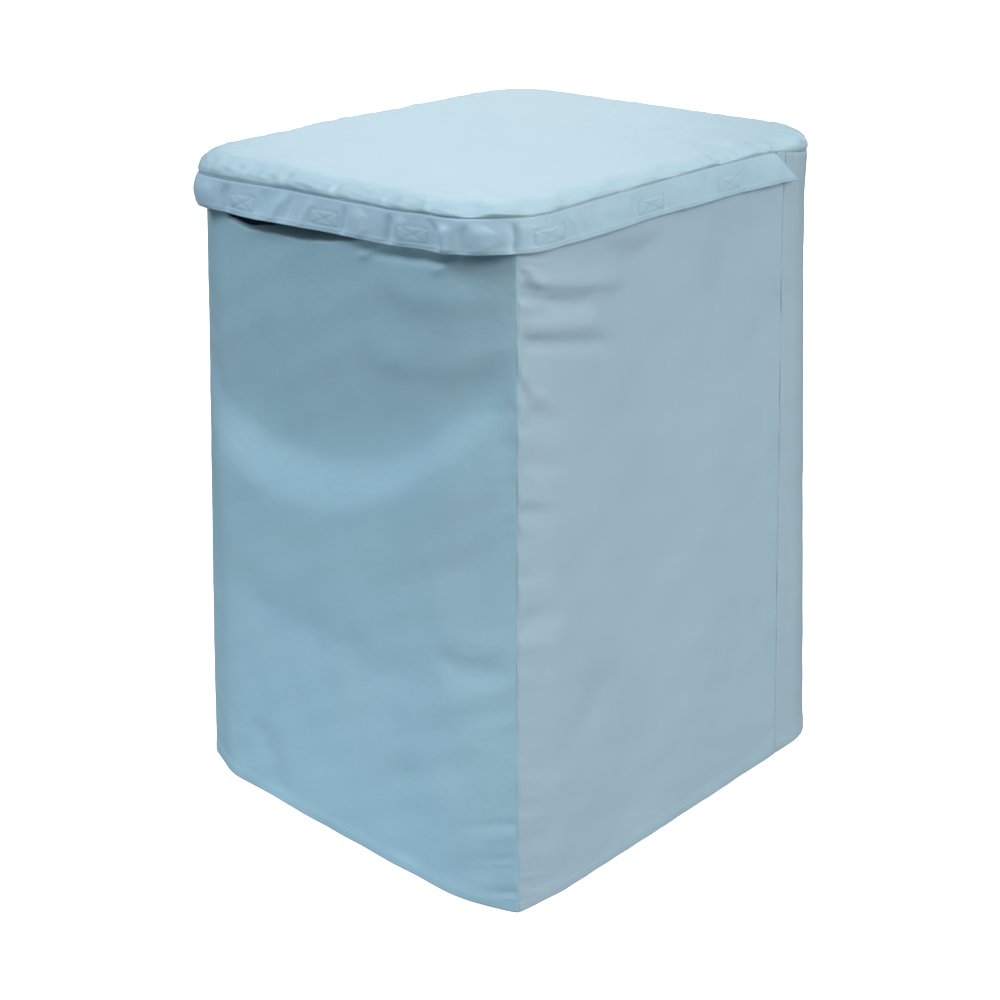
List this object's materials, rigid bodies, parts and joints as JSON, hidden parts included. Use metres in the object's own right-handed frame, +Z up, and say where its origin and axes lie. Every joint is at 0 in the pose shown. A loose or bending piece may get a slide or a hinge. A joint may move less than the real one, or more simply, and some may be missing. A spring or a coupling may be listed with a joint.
{
  "type": "washing machine cover",
  "caption": "Fitted cloth cover for a top-loading washing machine: a soft-edged lid with a flap held down by hook-and-loop squares over a boxed body open at the hem.",
  "frame": {"origin": "centre of the underside of the lid, where the top of the machine bears", "axes": "+Z up, opposite to the way the cloth hangs; the front with the slack upper edge faces -Y; +X is to the right of someone who faces the front"},
  "size_m": [0.6248, 0.6932, 0.8836],
  "materials": {
    "lid_cloth": "light blue coated polyester cloth, satin",
    "flap_cloth": "light blue coated polyester cloth, satin",
    "front_cloth": "grey-blue coated polyester cloth, satin",
    "side_cloth": "grey-blue coated polyester cloth, satin",
    "hook_and_loop": "pale blue-grey hook-and-loop tape, matt"
  },
  "bodies": {
    "root": {"lid_top": "lid_cloth", "lid_flap": "flap_cloth", "front_panel": "front_cloth", "side_panel_right": "side_cloth", "side_panel_left": "side_cloth", "back_panel": "side_cloth", "fastener_front_left": "hook_and_loop", "fastener_front_middle": "hook_and_loop", "fastener_front_right": "hook_and_loop", "fastener_corner": "hook_and_loop", "fastener_right_front": "hook_and_loop", "fastener_right_back": "hook_and_loop", "fastener_left_front": "hook_and_loop", "fastener_left_back": "hook_and_loop"}
  },
  "joints": []
}
